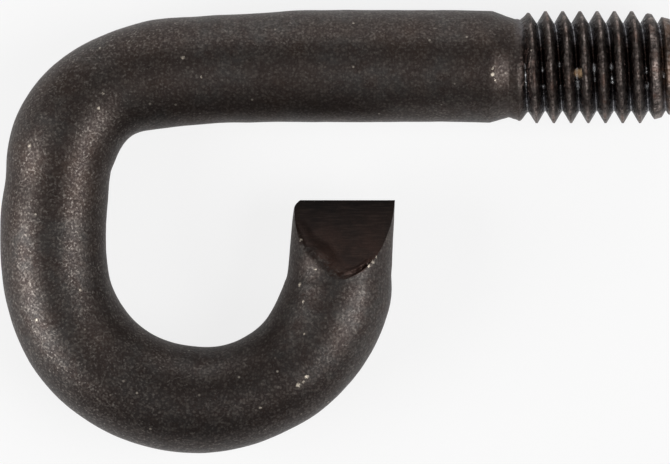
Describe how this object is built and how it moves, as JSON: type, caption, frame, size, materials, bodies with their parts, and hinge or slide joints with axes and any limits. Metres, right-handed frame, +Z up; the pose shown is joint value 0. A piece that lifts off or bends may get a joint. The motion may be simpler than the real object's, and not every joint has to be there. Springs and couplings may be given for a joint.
{
  "type": "screw hook",
  "caption": "Round blackened steel rod with a threaded stud at one end, bent at the other into a J-shaped hook whose tip is pinched off to a blunt chisel edge.",
  "frame": {"origin": "centre of the flat free end of the threaded stud, on the axis of the shank", "axes": "+X along the shank towards the free end of the thread, -Y towards the hook, +Z square to the plane of the hook; it lies flat with +Z up"},
  "size_m": [0.0583, 0.0387, 0.0098],
  "materials": {
    "black_steel": "hot-bent round bar with a dull black mill scale, faint brown patches and light specks"
  },
  "bodies": {
    "root": {"screw_hook": "black_steel"}
  },
  "joints": []
}
